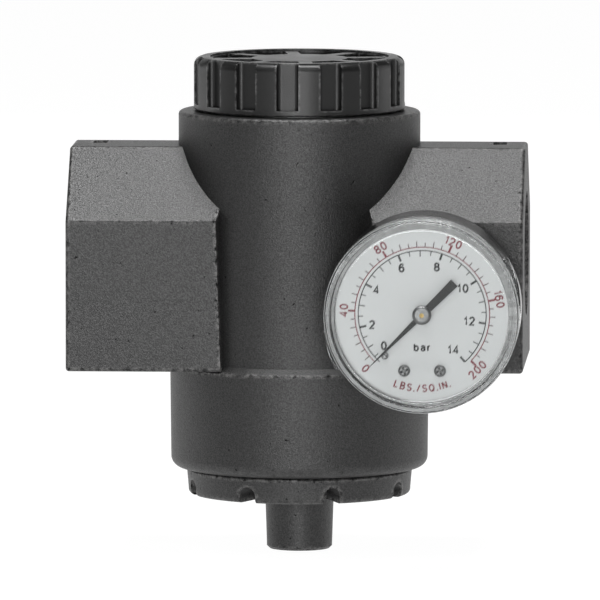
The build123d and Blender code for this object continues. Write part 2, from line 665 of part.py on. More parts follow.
def plate_outline():
    """Shield shape that carries the pinion, the sector and the pillars."""
    return [(-10.0, 1.5), (-10.0, 6.0), (10.0, 6.0), (10.0, 1.5), (6.6, -9.0), (6.6, -15.8), (4.0, -16.6),
            (-4.0, -16.6), (-8.6, -14.4), (-9.2, -10.0)]


def movement_plate(low):
    solid = prism(plate_outline(), low, low + PLATE_THICK)
    solid = fillet(solid.edges().filter_by(Axis.Z), 0.8)
    solid -= rod(0.6 + RUN, low - 1, low + 2)
    return solid - rod(0.7 + RUN, low - 1, low + 2, 0, -CENTRE_DISTANCE)


def movement_back_plate():
    solid = movement_plate(BACK_PLATE)
    for x, y in PILLARS:
        solid -= rod(1.0, BACK_PLATE - 1, BACK_PLATE + 2, x, y)
    return solid


def movement_front_plate():
    solid = movement_plate(FRONT_PLATE)
    for x, y in PILLARS:
        solid -= rod(0.7, FRONT_PLATE - 1, FRONT_PLATE + 2, x, y)
    for side in (-1, 1):
        solid -= rod(0.9, FRONT_PLATE - 1, FRONT_PLATE + 2, side * DIAL_SCREW_X, DIAL_SCREW_Y)
    return solid - rod(0.5, FRONT_PLATE - 1, FRONT_PLATE + 2, 5.76, 0)


def movement_pillars():
    """Three shouldered pillars from the socket's flange to the front plate."""
    pillar = rod(1.6, FLANGE_FRONT, BACK_PLATE) + rod(1.0, BACK_PLATE, BACK_PLATE + PLATE_THICK)
    pillar += rod(1.6, BACK_PLATE + PLATE_THICK, FRONT_PLATE)
    pillar -= rod(0.7, 19.5, FRONT_PLATE + 1)
    return [Pos(x, y, 0) * pillar for x, y in PILLARS]


def movement_screws():
    screw = pan_screw(1.4, FRONT_PLATE + PLATE_THICK, FRONT_PLATE + PLATE_THICK + 1.0, 0.7, 19.8)
    return [Pos(x, y, 0) * screw for x, y in PILLARS]


REGULATOR_PARTS = [
    regulator_body, bonnet, adjusting_knob, knob_retainer_ring, adjusting_screw, spring_rest, range_spring,
    control_piston, piston_seal, valve_seat, valve_poppet, poppet_seal, valve_spring, bottom_cap,
    bottom_cap_oring, rear_port_plug,
]
GAUGE_PARTS = [
    gauge_case, gauge_lens, lens_gasket, gauge_dial, dial_screws, dial_posts, stop_pin, pointer, pointer_hub,
    gauge_socket, restrictor, case_screws, bourdon_tube, tube_tip, link, link_tail_pin, link_tip_pin,
    sector_gear, pinion, hairspring, hairspring_stud, movement_back_plate, movement_front_plate,
    movement_pillars, movement_screws,
]


def write(make, place):
    """Build one sub-part and write it, under its own name, where it belongs."""
    made = make()
    solids = made if isinstance(made, list) else [made]
    placed = [place * solid for piece in solids for solid in piece.solids()]
    shape = placed[0] if len(placed) == 1 else Compound(children=placed)
    export_step(shape, f"parts/{make.__name__}.step")


os.makedirs("parts", exist_ok=True)
for make in REGULATOR_PARTS:
    write(make, BODY_AXIS)
for make in GAUGE_PARTS:
    write(make, GAUGE)
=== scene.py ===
import json
import math

import bmesh
import bpy
from mathutils import Matrix, Vector


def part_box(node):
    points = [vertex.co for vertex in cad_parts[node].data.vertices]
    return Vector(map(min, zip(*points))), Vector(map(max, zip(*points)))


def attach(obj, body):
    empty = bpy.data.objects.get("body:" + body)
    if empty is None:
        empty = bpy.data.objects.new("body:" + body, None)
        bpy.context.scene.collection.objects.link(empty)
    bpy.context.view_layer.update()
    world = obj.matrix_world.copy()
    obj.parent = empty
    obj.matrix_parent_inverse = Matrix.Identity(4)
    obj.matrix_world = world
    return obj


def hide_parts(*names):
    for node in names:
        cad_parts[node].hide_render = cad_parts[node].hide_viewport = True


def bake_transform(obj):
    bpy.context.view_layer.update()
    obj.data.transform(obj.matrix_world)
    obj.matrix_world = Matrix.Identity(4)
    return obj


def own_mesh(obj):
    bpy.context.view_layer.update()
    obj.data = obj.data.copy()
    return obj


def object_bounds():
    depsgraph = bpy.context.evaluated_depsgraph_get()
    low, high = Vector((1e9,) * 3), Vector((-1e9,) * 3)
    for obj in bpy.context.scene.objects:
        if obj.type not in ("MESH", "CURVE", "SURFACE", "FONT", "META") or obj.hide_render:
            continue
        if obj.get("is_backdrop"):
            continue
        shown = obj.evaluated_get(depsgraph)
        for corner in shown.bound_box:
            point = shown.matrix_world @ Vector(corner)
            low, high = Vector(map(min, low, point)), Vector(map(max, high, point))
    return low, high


# A compressed-air regulator with a dial pressure gauge: materials, the gauge's printed dial,
# its clear lens and the pipe threads, around the CAD frame.  Metres, +Z up, gauge side -Y.

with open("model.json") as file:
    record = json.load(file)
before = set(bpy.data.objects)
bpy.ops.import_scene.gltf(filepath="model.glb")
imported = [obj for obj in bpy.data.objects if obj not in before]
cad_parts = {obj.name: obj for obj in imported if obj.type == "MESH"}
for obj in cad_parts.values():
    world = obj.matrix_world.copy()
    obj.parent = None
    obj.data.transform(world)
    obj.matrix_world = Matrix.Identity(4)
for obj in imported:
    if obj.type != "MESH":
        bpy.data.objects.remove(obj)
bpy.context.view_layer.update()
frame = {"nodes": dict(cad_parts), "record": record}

MM = 0.001

# ---------------------------------------------------------------- places read from the frame
dial_low, dial_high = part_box("gauge_dial")
GAUGE_X = (dial_low.x + dial_high.x) / 2
GAUGE_Z = (dial_low.z + dial_high.z) / 2
DIAL_Y = dial_low.y
body_low, body_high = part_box("regulator_body")
cap_low, cap_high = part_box("bottom_cap")
AXIS_X = (cap_low.x + cap_high.x) / 2          # the body's vertical axis

# the gauge's own frame: local x right, y up, z forward from the dial's printed face
ON_DIAL = Matrix((
    (1, 0, 0, GAUGE_X),
    (0, 0, -1, DIAL_Y),
    (0, 1, 0, GAUGE_Z),
    (0, 0, 0, 1),
))


# ---------------------------------------------------------------- material helpers
class Shader:
    """A material's node tree with short names for the nodes this scene uses."""

    def __init__(self, name):
        self.material = bpy.data.materials.new(name)
        self.material.use_nodes = True
        self.nodes = self.material.node_tree.nodes
        self.links = self.material.node_tree.links
        self.bsdf = self.nodes["Principled BSDF"]
        self.output = self.nodes["Material Output"]
        self.place = self.nodes.new("ShaderNodeTexCoord").outputs["Object"]

    def put(self, source, node, socket):
        """Links a socket, or sets a plain value."""
        target = node.inputs[socket]
        if isinstance(source, bpy.types.NodeSocket):
            self.links.new(source, target)
        else:
            target.default_value = source

    def noise(self, scale, detail=4.0, roughness=0.6, stretch=None):
        node = self.nodes.new("ShaderNodeTexNoise")
        node.inputs["Scale"].default_value = scale
        node.inputs["Detail"].default_value = detail
        node.inputs["Roughness"].default_value = roughness
        self.put(self.stretched(stretch), node, "Vector")
        return node.outputs["Fac"]

    def stretched(self, stretch):
        if stretch is None:
            return self.place
        node = self.nodes.new("ShaderNodeMapping")
        node.inputs["Scale"].default_value = stretch
        self.put(self.place, node, "Vector")
        return node.outputs["Vector"]

    def ramp(self, source, low, high, bottom=0.0, top=1.0):
        node = self.nodes.new("ShaderNodeMapRange")
        node.inputs["From Min"].default_value = low
        node.inputs["From Max"].default_value = high
        node.inputs["To Min"].default_value = bottom
        node.inputs["To Max"].default_value = top
        self.put(source, node, "Value")
        return node.outputs["Result"]

    def math(self, operation, first, second=0.0):
        node = self.nodes.new("ShaderNodeMath")
        node.operation = operation
        self.put(first, node, 0)
        self.put(second, node, 1)
        return node.outputs["Value"]

    def mix(self, factor, first, second):
        node = self.nodes.new("ShaderNodeMix")
        node.data_type = "RGBA"
        self.put(factor, node, 0)
        self.put(first, node, 6)
        self.put(second, node, 7)
        return node.outputs[2]

    def shut_in(self, inside, reach, low, high):
        """0 where less than the share low of the directions is blocked within reach, and 1 beyond high."""
        node = self.nodes.new("ShaderNodeAmbientOcclusion")
        node.inside = inside
        node.only_local = True
        node.samples = 8
        node.inputs["Distance"].default_value = reach
        return self.ramp(node.outputs["AO"], 1.0 - low, 1.0 - high)

    def edges(self, reach, low, high):
        """1 on outside edges and 0 on flat surfaces, from how soon the inside meets another face."""
        return self.shut_in(True, reach, low, high)

    def recesses(self, reach, low, high):
        """1 deep in recesses and inside corners and 0 on open surfaces."""
        return self.shut_in(False, reach, low, high)

    def bump(self, height, depth):
        node = self.nodes.new("ShaderNodeBump")
        node.inputs["Distance"].default_value = depth
        node.inputs["Strength"].default_value = 1.0
        self.put(height, node, "Height")
        return node.outputs["Normal"]

    def set(self, **values):
        names = {"color": "Base Color", "rough": "Roughness", "metal": "Metallic", "normal": "Normal",
                 "spec": "Specular IOR Level", "ior": "IOR", "transmission": "Transmission Weight"}
        for key, value in values.items():
            self.put(value, self.bsdf, names[key])
        return self.material


def grey(value, warm=0.0):
    """A grey, tinted towards brown by a share of its value."""
    return (value * (1 + warm), value, value * (1 - warm), 1.0)


# ---------------------------------------------------------------- materials
def cast_enamel(name, paint, wear_and_highlight, grain_depth):
    """Black textured enamel over a die casting, pitted, with painted glints in its grain, and rubbed light
    along its edges, partly real paint wear and partly a painted highlight on the edge fillets.
    """
    s = Shader(name)
    grain = s.noise(2600, 2.0, 0.65)
    cloud = s.noise(45, 4.0, 0.6)
    pits = s.ramp(s.noise(700, 2.0, 0.5), 0.28, 0.24)
    # painted glints: bright specks in the grain's colour stand in for sparkle off the pebbled enamel
    painted_glint = s.ramp(s.noise(2300, 1.0, 0.5), 0.7, 0.74)
    colour = s.mix(s.ramp(grain, 0.35, 0.65), grey(paint * 0.5), grey(paint * 1.5, 0.01))
    colour = s.mix(s.ramp(cloud, 0.3, 0.7, 0.0, 0.25), colour, grey(paint * 0.8))
    colour = s.mix(s.math("MULTIPLY", painted_glint, 0.5), colour, grey(paint * 8.0))
    corner = s.edges(0.0012, 0.03, 0.1)
    nibbled = s.noise(700, 5.0, 0.75)
    # the light rub along the edges is partly real paint wear and partly a painted highlight on the edge
    # fillets
    edge_wear_and_highlight = s.math("MULTIPLY", s.ramp(nibbled, 0.46, 0.58), corner)
    broken = s.math("MULTIPLY", s.ramp(nibbled, 0.42, 0.37), corner)
    colour = s.mix(s.math("MULTIPLY", edge_wear_and_highlight, wear_and_highlight), colour, grey(0.16, 0.02))
    colour = s.mix(broken, colour, grey(paint * 0.1))
    height = s.math("SUBTRACT", grain, s.math("MULTIPLY", pits, 0.7))
    height = s.math("SUBTRACT", height, s.math("MULTIPLY", broken, 1.5))
    dull = s.math("MAXIMUM", pits, broken)
    return s.set(
        color=s.mix(pits, colour, grey(paint * 0.2)),
        rough=s.ramp(grain, 0.35, 0.65, 0.47, 0.39),
        normal=s.bump(height, grain_depth),
        spec=s.math("MULTIPLY", s.ramp(grain, 0.35, 0.65, 0.6, 0.9), s.ramp(dull, 0.0, 1.0, 1.0, 0.3)),
    )


def moulded_plastic(name, paint, rough, grain_depth, scuff):
    """Moulded black plastic with a fine spark-eroded grain, scuffed along its edges."""
    s = Shader(name)
    grain = s.noise(3800, 2.0, 0.55)
    flow = s.noise(70, 3.0, 0.5)
    edge = s.math("MULTIPLY", s.edges(0.0007, 0.08, 0.3), s.ramp(s.noise(600, 4.0, 0.7), 0.42, 0.66))
    colour = s.mix(s.ramp(flow, 0.3, 0.7), grey(paint * 0.88), grey(paint * 1.12))
    colour = s.mix(s.math("MULTIPLY", edge, scuff), colour, grey(0.3))
    return s.set(
        color=colour,
        rough=s.ramp(flow, 0.3, 0.7, rough - 0.05, rough + 0.06),
        normal=s.bump(grain, grain_depth),
    )


def turned_metal(name, colour, dark, rough, axis_stretch):
    """Machined metal with fine tool lines, slight tarnish, and painted shade darkening its recesses and
    inside corners.
    """
    s = Shader(name)
    lines = s.noise(2200, 3.0, 0.6, axis_stretch)
    tarnish = s.noise(160, 4.0, 0.6)
    tarnish_and_shade = s.mix(s.ramp(tarnish, 0.35, 0.75), colour, dark)
    # painted shade: recesses and inside corners are darkened towards near black
    tarnish_and_shade = s.mix(s.recesses(0.0007, 0.1, 0.6), tarnish_and_shade, grey(0.02))
    return s.set(
        color=tarnish_and_shade,
        metal=1.0,
        rough=s.ramp(lines, 0.3, 0.7, rough * 0.75, rough * 1.3),
        normal=s.bump(lines, 0.00002),
    )


def drawn_wire(name, colour):
    """Oiled spring wire with a faint drawn grain."""
    s = Shader(name)
    lines = s.noise(1500, 2.0, 0.5)
    return s.set(
        color=s.mix(lines, colour, grey(0.12)),
        metal=1.0,
        rough=s.ramp(lines, 0.3, 0.7, 0.26, 0.42),
        normal=s.bump(lines, 0.000015),
    )


def seal_rubber(name, value):
    """Moulded rubber with a faint uneven bloom."""
    s = Shader(name)
    bloom = s.noise(700, 4.0, 0.6)
    return s.set(
        color=s.mix(bloom, grey(value * 0.8), grey(value * 1.3)),
        rough=s.ramp(bloom, 0.3, 0.7, 0.55, 0.75),
        normal=s.bump(bloom, 0.00002),
    )


WINDOW_CLARITY = 0.75       # share of the flat window that light crosses without bending


def clear_plastic():
    """Clear polycarbonate that lets lamps through, with a clearer flat window and a bright moulded rim."""
    s = Shader("lens_clear")
    haze = s.noise(90, 3.0, 0.5)
    path = s.nodes.new("ShaderNodeLightPath")
    facing = s.nodes.new("ShaderNodeSeparateXYZ")
    s.links.new(s.nodes.new("ShaderNodeNewGeometry").outputs["Normal"], facing.inputs[0])
    flat = s.ramp(s.math("ABSOLUTE", facing.outputs["Y"]), 0.995, 0.999)
    window = s.math("MULTIPLY", flat, WINDOW_CLARITY)
    satin = s.math("MULTIPLY", s.ramp(haze, 0.3, 0.7, 0.05, 0.09), s.ramp(flat, 0.0, 1.0, 1.0, 0.15))
    s.set(color=(0.985, 0.99, 0.99, 1.0), rough=satin, ior=1.5, transmission=1.0)
    through = s.nodes.new("ShaderNodeBsdfTransparent")
    through.inputs["Color"].default_value = (0.95, 0.96, 0.96, 1.0)
    blend = s.nodes.new("ShaderNodeMixShader")
    indirect = s.math("MAXIMUM", path.outputs["Is Shadow Ray"], path.outputs["Is Diffuse Ray"])
    s.links.new(s.math("MAXIMUM", indirect, window), blend.inputs[0])
    s.links.new(s.bsdf.outputs[0], blend.inputs[1])
    s.links.new(through.outputs[0], blend.inputs[2])
    s.links.new(blend.outputs[0], s.output.inputs["Surface"])
    return s.material


def dial_enamel():
    """White baked enamel, satin, with a trace of orange peel."""
    s = Shader("dial_enamel")
    peel = s.noise(600, 2.0, 0.5)
    cloud = s.noise(60, 3.0, 0.5)
    return s.set(
        color=s.mix(s.ramp(cloud, 0.3, 0.7), grey(0.6), grey(0.63)),
        rough=s.ramp(peel, 0.3, 0.7, 0.36, 0.46),
        normal=s.bump(peel, 0.000008),
    )


def printing_ink(name, colour):
    """Pad-printed ink, slightly uneven in density."""
    s = Shader(name)
    density = s.noise(1800, 3.0, 0.6)
    lighter = tuple(min(1.0, c * 1.25 + 0.004) for c in colour[:3]) + (1.0,)
    return s.set(
        color=s.mix(s.ramp(density, 0.35, 0.75), colour, lighter),
        rough=s.ramp(density, 0.3, 0.7, 0.4, 0.55),
    )


def pointer_enamel():
    """Matt black paint on the pointer."""
    s = Shader("pointer_enamel")
    peel = s.noise(1500, 3.0, 0.6)
    return s.set(
        color=s.mix(peel, grey(0.005), grey(0.012)),
        rough=s.ramp(peel, 0.3, 0.7, 0.5, 0.62),
        normal=s.bump(peel, 0.00001),
    )


BRASS, BRASS_DARK = (0.5, 0.37, 0.15, 1.0), (0.3, 0.21, 0.09, 1.0)
BRONZE, BRONZE_DARK = (0.66, 0.42, 0.22, 1.0), (0.36, 0.2, 0.1, 1.0)
STEEL, STEEL_DARK = grey(0.55), grey(0.33)

ROUND = (1.0, 1.0, 0.06)
materials = {
    "body_paint": cast_enamel("body_enamel", 0.007, 0.7, 0.00012),
    "cap_plastic": cast_enamel("cap_enamel", 0.008, 0.5, 0.00007),
    "knob_plastic": moulded_plastic("knob_moulding", 0.006, 0.36, 0.00003, 0.4),
    "case_plastic": moulded_plastic("case_moulding", 0.006, 0.2, 0.000006, 0.15),
    "bonnet_zinc": turned_metal("bonnet_zinc", grey(0.4), grey(0.24), 0.45, None),
    "steel": turned_metal("machined_steel", STEEL, STEEL_DARK, 0.28, ROUND),
    "spring_steel": drawn_wire("spring_wire", grey(0.4)),
    "brass": turned_metal("turned_brass", BRASS, BRASS_DARK, 0.55, ROUND),
    "bronze": turned_metal("tube_bronze", BRONZE, BRONZE_DARK, 0.3, None),
    "seal_rubber": seal_rubber("seal_rubber", 0.02),
    "gasket_silicone": seal_rubber("gasket_silicone", 0.4),
    "clear_plastic": clear_plastic(),
    "dial_print": dial_enamel(),
    "pointer_paint": pointer_enamel(),
    "chrome": turned_metal("bright_nickel", grey(0.2), grey(0.12), 0.42, None),
}
ink_black = printing_ink("ink_black", (0.006, 0.006, 0.0065, 1.0))
ink_maroon = printing_ink("ink_maroon", (0.035, 0.004, 0.007, 1.0))
ink_red = printing_ink("ink_red", (0.15, 0.002, 0.012, 1.0))


def dress(piece, material):
    """Puts one material on every face of a piece."""
    if not piece.data.materials:
        piece.data.materials.append(None)
    for slot in piece.material_slots:
        slot.link = "OBJECT"
        slot.material = material


SMOOTH_ANGLE = math.radians(32)
slot_of = {row["node"]: row["material_slot"] for row in frame["record"]["subparts"]}
for name, piece in frame["nodes"].items():
    dress(piece, materials[slot_of[name]])
    piece.data.shade_smooth()
    piece.data.set_sharp_from_angle(angle=SMOOTH_ANGLE)


# ---------------------------------------------------------------- mesh helpers
MERGE_DISTANCE = 1e-7


def piece_from(name, verts, faces, matrix, body, material, smooth=True):
    """A new visible piece that rides on a CAD body."""
    mesh = bpy.data.meshes.new(name)
    mesh.from_pydata(verts, [], faces)
    mesh.transform(matrix)
    tidy = bmesh.new()
    tidy.from_mesh(mesh)
    bmesh.ops.remove_doubles(tidy, verts=tidy.verts, dist=MERGE_DISTANCE)
    bmesh.ops.recalc_face_normals(tidy, faces=tidy.faces)
    tidy.to_mesh(mesh)
    tidy.free()
    if smooth:
        mesh.shade_smooth()
        mesh.set_sharp_from_angle(angle=SMOOTH_ANGLE)
    piece = bpy.data.objects.new(name, mesh)
    bpy.context.scene.collection.objects.link(piece)
    mesh.materials.append(material)
    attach(piece, body)
    return piece


def polar(radius, degrees):
    """x and y at a radius, in degrees anticlockwise from +x."""
    return radius * math.cos(math.radians(degrees)), radius * math.sin(math.radians(degrees))


# ---------------------------------------------------------------- dial print, in millimetres and degrees
INK_LOW, INK_HIGH = 0.0, 0.012          # heights over the dial's face
ARC_STEP = 3.0
BAR_ARC_R, BAR_ARC_START, BAR_ARC_WIDTH = 16.6, 228.5, 0.28
PSI_ARC_R, PSI_ARC_START, PSI_ARC_WIDTH = 17.5, 226.0, 0.26
BAR_ZERO, DEGREES_PER_BAR, BAR_FULL = 232.0, 20.0, 14
PSI_ZERO, DEGREES_PER_PSI, PSI_FULL = 232.6, 1.381, 200


def add_slab(verts, faces, outline):
    """Adds a flat slab of ink over a closed outline."""
    first, count = len(verts), len(outline)
    verts += [(x, y, INK_LOW) for x, y in outline] + [(x, y, INK_HIGH) for x, y in outline]
    faces.append(list(range(first + count - 1, first - 1, -1)))
    faces.append(list(range(first + count, first + 2 * count)))
    for k in range(count):
        following = (k + 1) % count
        faces.append([first + k, first + following, first + count + following, first + count + k])


def add_arc(verts, faces, radius, width, start, end):
    """Adds a thin printed arc as a run of slabs that share their ends."""
    count = int(abs(end - start) / ARC_STEP)
    for k in range(count):
        a0 = start + (end - start) * k / count
        a1 = start + (end - start) * (k + 1) / count
        inner, outer = radius - width / 2, radius + width / 2
        outline = [polar(inner, a0), polar(outer, a0), polar(outer, a1), polar(inner, a1)]
        add_slab(verts, faces, outline)


def add_tick(verts, faces, angle, inner, outer, width):
    """Adds a radial tick mark."""
    dx, dy = polar(width / 2, angle + 90)
    ends = [polar(inner, angle), polar(outer, angle)]
    outline = [(ends[0][0] - dx, ends[0][1] - dy), (ends[1][0] - dx, ends[1][1] - dy),
               (ends[1][0] + dx, ends[1][1] + dy), (ends[0][0] + dx, ends[0][1] + dy)]
    add_slab(verts, faces, outline)


def print_on_dial(name, verts, faces, ink):
    """Turns slabs in millimetres on the dial's face into a printed piece."""
    verts = [(x * MM, y * MM, z * MM) for x, y, z in verts]
    piece_from(name, verts, faces, ON_DIAL, "housing", ink, smooth=False)


def bar_angle(bar):
    """The direction of a pressure in bar on the inner scale."""
    return BAR_ZERO - DEGREES_PER_BAR * bar


def psi_angle(psi):
    """The direction of a pressure in pounds per square inch on the outer scale."""
    return PSI_ZERO - DEGREES_PER_PSI * psi


def bar_scale():
    """Black inner arc with inward ticks every half bar."""
    verts, faces = [], []
    add_arc(verts, faces, BAR_ARC_R, BAR_ARC_WIDTH, BAR_ARC_START, bar_angle(BAR_FULL))
    for half in range(1, 2 * BAR_FULL + 1):
        if half % 4 == 0:
            length, width = 1.8, 0.55
        elif half % 2 == 0:
            length, width = 1.6, 0.28
        else:
            length, width = 1.25, 0.25
        add_tick(verts, faces, bar_angle(half / 2), BAR_ARC_R - length, BAR_ARC_R, width)
    print_on_dial("dial_bar_scale", verts, faces, ink_black)


def psi_scale():
    """Red outer arc with heavy red ticks, and finer dark ones every five pounds."""
    heavy, fine = ([], []), ([], [])
    add_arc(*heavy, PSI_ARC_R, PSI_ARC_WIDTH, PSI_ARC_START, psi_angle(PSI_FULL))
    for psi in range(10, PSI_FULL + 1, 5):
        if psi % 40 == 0:
            add_tick(*heavy, psi_angle(psi), PSI_ARC_R, PSI_ARC_R + 1.8, 0.55)
        else:
            length = 1.55 if psi % 10 == 0 else 1.15
            add_tick(*fine, psi_angle(psi), PSI_ARC_R, PSI_ARC_R + length, 0.24)
    print_on_dial("dial_psi_scale", *heavy, ink_red)
    print_on_dial("dial_psi_minor_ticks", *fine, ink_maroon)


def curve(x, y, across, up, start, end):
    """Points along part of an ellipse, in degrees anticlockwise from +x."""
    count = max(4, int(abs(end - start) / 18))
    angles = [math.radians(start + (end - start) * k / count) for k in range(count + 1)]
    return [(x + across * math.cos(a), y + up * math.sin(a)) for a in angles]


# centre lines of plain upright letters, one unit high, as lists of strokes
GLYPHS = {
    "0": [curve(0.29, 0.5, 0.29, 0.5, 0, 360)],
    "1": [[(0.3, 0.0), (0.3, 1.0), (0.24, 0.86), (0.04, 0.78)]],
    "2": [curve(0.29, 0.72, 0.28, 0.28, 172, -32) + [(0.36, 0.4), (0.02, 0.0), (0.58, 0.0)]],
    "4": [[(0.44, 0.0), (0.44, 1.0), (0.0, 0.28), (0.6, 0.28)]],
    "6": [curve(0.29, 0.31, 0.28, 0.31, 0, 360), curve(0.3, 0.5, 0.3, 0.5, 38, 180) + [(0.01, 0.31)]],
    "8": [curve(0.29, 0.26, 0.29, 0.26, 0, 360), curve(0.29, 0.77, 0.25, 0.23, 0, 360)],
    "b": [[(0.0, 0.0), (0.0, 1.0)], curve(0.27, 0.34, 0.27, 0.35, 0, 360)],
    "a": [curve(0.25, 0.5, 0.24, 0.21, 165, 0) + [(0.49, 0.0)], curve(0.25, 0.2, 0.24, 0.2, 0, 360)],
    "r": [[(0.0, 0.0), (0.0, 0.7)], curve(0.25, 0.42, 0.25, 0.28, 180, 80)],
    "L": [[(0.0, 1.0), (0.0, 0.0), (0.5, 0.0)]],
    "B": [[(0.0, 0.52), (0.3, 0.52)] + curve(0.3, 0.26, 0.28, 0.26, 90, -90) + [(0.0, 0.0), (0.0, 1.0)]
          + curve(0.3, 0.76, 0.24, 0.24, 90, -90)],
    "S": [curve(0.29, 0.75, 0.27, 0.25, 20, 250) + curve(0.29, 0.26, 0.29, 0.26, 72, -160)],
    "Q": [curve(0.34, 0.5, 0.34, 0.5, 0, 360), [(0.42, 0.26), (0.68, 0.0)]],
    "I": [[(0.0, 0.0), (0.0, 1.0)]],
    "N": [[(0.0, 0.0), (0.0, 1.0)], [(0.04, 0.97), (0.56, 0.03)], [(0.6, 0.0), (0.6, 1.0)]],
    ".": [[(0.0, -0.08), (0.0, 0.12)]],
    "/": [[(0.0, 0.0), (0.38, 1.0)]],
}
LETTER_GAP = 0.9            # clear space between letters, as a share of the stroke's width


def add_stroke(verts, faces, path, width):
    """Adds a flat bar of constant width along a path, with mitred corners."""
    closed = math.dist(path[0], path[-1]) < 1e-6
    points = [Vector(p) for p in (path[:-1] if closed else path)]
    first, count = len(verts), len(points)
    for k, point in enumerate(points):
        before = (point - points[k - 1]).normalized() if closed or k > 0 else None
        after = (points[(k + 1) % count] - point).normalized() if closed or k < count - 1 else None
        ahead = ((before or after) + (after or before)).normalized()
        side = Vector((-ahead.y, ahead.x))
        square = Vector((-(after or before).y, (after or before).x))
        reach = width / 2 / max(0.55, side.dot(square))
        left, right = point + side * reach, point - side * reach
        verts += [(left.x, left.y, INK_LOW), (right.x, right.y, INK_LOW)]
        verts += [(right.x, right.y, INK_HIGH), (left.x, left.y, INK_HIGH)]
    for k in range(count if closed else count - 1):
        here, beyond = first + 4 * k, first + 4 * ((k + 1) % count)
        for j in range(4):
            faces.append([here + j, here + (j + 1) % 4, beyond + (j + 1) % 4, beyond + j])
    if not closed:
        last = first + 4 * (count - 1)
        faces.append([first, first + 1, first + 2, first + 3])
        faces.append([last + 3, last + 2, last + 1, last])


def letter_width(letter):
    """The reach of a letter's centre lines, as a share of its height."""
    return max(x for stroke in GLYPHS[letter] for x, _ in stroke)


def text_width(text, height, weight):
    """The width of a line of letters, in millimetres."""
    letters = sum(letter_width(c) for c in text) * (height - weight)
    return letters + weight * len(text) + LETTER_GAP * weight * (len(text) - 1)


def add_text(verts, faces, text, height, at, turn, weight):
    """Adds a line of letters centred on a point and turned by degrees, in millimetres."""
    scale = height - weight
    cos, sin = math.cos(math.radians(turn)), math.sin(math.radians(turn))
    along = weight / 2 - text_width(text, height, weight) / 2
    for letter in text:
        for stroke in GLYPHS[letter]:
            path = []
            for x, y in stroke:
                middle = 0.0 if letter == "." else scale / 2
                x, y = along + x * scale, y * scale - middle
                path.append((at[0] + x * cos - y * sin, at[1] + x * sin + y * cos))
            add_stroke(verts, faces, path, weight)
        along += letter_width(letter) * scale + weight * (1 + LETTER_GAP)


def bar_numerals():
    """Black numerals, upright inside the bar arc, and the unit."""
    verts, faces = [], []
    places = {0: (12.9, 219.6), 2: (13.3, 192), 4: (13.5, 152), 6: (13.2, 114), 8: (12.9, 73), 10: (12.5, 33),
              12: (12.3, -8), 14: (12.2, -49)}
    for value, (radius, angle) in places.items():
        add_text(verts, faces, str(value), 2.4, polar(radius, angle), 0.0, 0.48)
    add_text(verts, faces, "bar", 2.2, (0.0, -8.6), 0.0, 0.44)
    print_on_dial("dial_bar_numerals", verts, faces, ink_black)


def psi_numerals():
    """Red numerals outside the psi arc with their tops outward, and the unit around the bottom."""
    verts, faces = [], []
    radius, height, weight = 20.4, 2.3, 0.4
    for value in range(0, PSI_FULL, 40):
        angle = psi_angle(value) if value else 224.0
        add_text(verts, faces, str(value), height, polar(radius, angle), angle - 90, weight)
    last = psi_angle(PSI_FULL) - 1.5
    add_text(verts, faces, str(PSI_FULL), height, polar(radius - 0.1, last), last + 90, weight)
    unit, unit_r, unit_height, unit_weight, unit_span = "LBS./SQ.IN.", 19.3, 2.05, 0.36, 14.8
    widths = [letter_width(c) * (unit_height - unit_weight) + unit_weight for c in unit]
    gap = (unit_span - sum(widths)) / (len(unit) - 1)
    along = -unit_span / 2
    for letter, width in zip(unit, widths):
        angle = -90 + math.degrees((along + width / 2) / unit_r)
        drop = (unit_height - unit_weight) / 2 if letter == "." else 0.0
        add_text(verts, faces, letter, unit_height, polar(unit_r + drop, angle), angle + 90, unit_weight)
        along += width + gap
    print_on_dial("dial_psi_numerals", verts, faces, ink_red)


bar_scale()
psi_scale()
bar_numerals()
psi_numerals()


# ---------------------------------------------------------------- lens
LUG_STARTS = (35.0, 215.0)
LUG_HEIGHT, LUG_RUN, LUG_STEP = 1.3, 52.0, 1.5
LENS_STEP = 0.75
LENS_R, LENS_REAR, LENS_FRONT = 25.4, -2.8, 6.0
EDGE_R, BEAD_R, BEAD_RING_R = 0.55, 0.72, 23.85


def lug(angle):
    """How far the lens's cam-shaped tabs stand out at an angle, in millimetres."""
    best = 0.0
    for start in LUG_STARTS:
        back = (start - angle) % 360
        if back < LUG_STEP:
            best = max(best, LUG_HEIGHT * back / LUG_STEP)
        elif back < LUG_STEP + LUG_RUN:
            best = max(best, LUG_HEIGHT * (1 - (back - LUG_STEP) / LUG_RUN) ** 1.6)
    return best


def rounding(ring_r, forward, radius, angles):
    """Points of a section's rounded edge, with no lug."""
    return [(ring_r + radius * math.cos(math.radians(a)), forward + radius * math.sin(math.radians(a)), 0)
            for a in angles]


def lens_profile():
    """Closed section of the lens as (radius, forward from dial, lug share) in millimetres."""
    rear = LENS_REAR
    shoulder, window_back, window_front = 0.6, 4.2, 5.65
    inner = [(0.0, window_back, 0), (21.9, window_back, 0), (22.1, window_back, 0),
             (22.55, window_back - 0.12, 0), (22.75, window_back - 0.5, 0), (22.8, shoulder, 0),
             (24.3, shoulder, 0), (24.35, shoulder - 0.1, 0), (24.35, rear + 0.3, 0), (24.5, rear, 0)]
    skirt = [(LENS_R - 0.2, rear, 1), (LENS_R - 0.02, rear + 0.15, 1), (LENS_R, rear + 0.4, 1),
             (LENS_R, rear + 4.2, 1), (LENS_R, rear + 4.6, 0.75), (LENS_R, rear + 4.8, 0), (LENS_R, 4.3, 0)]
    rim = rounding(LENS_R - EDGE_R, 4.5, EDGE_R, (0, 22, 45, 68, 90))
    bead = rounding(BEAD_RING_R, LENS_FRONT - BEAD_R, BEAD_R, (8, 30, 52, 72, 90, 112, 135))
    face = [(23.1, window_front + 0.12, 0), (22.85, window_front, 0), (22.65, window_front, 0),
            (0.0, window_front, 0)]
    return inner + skirt + rim + bead + face


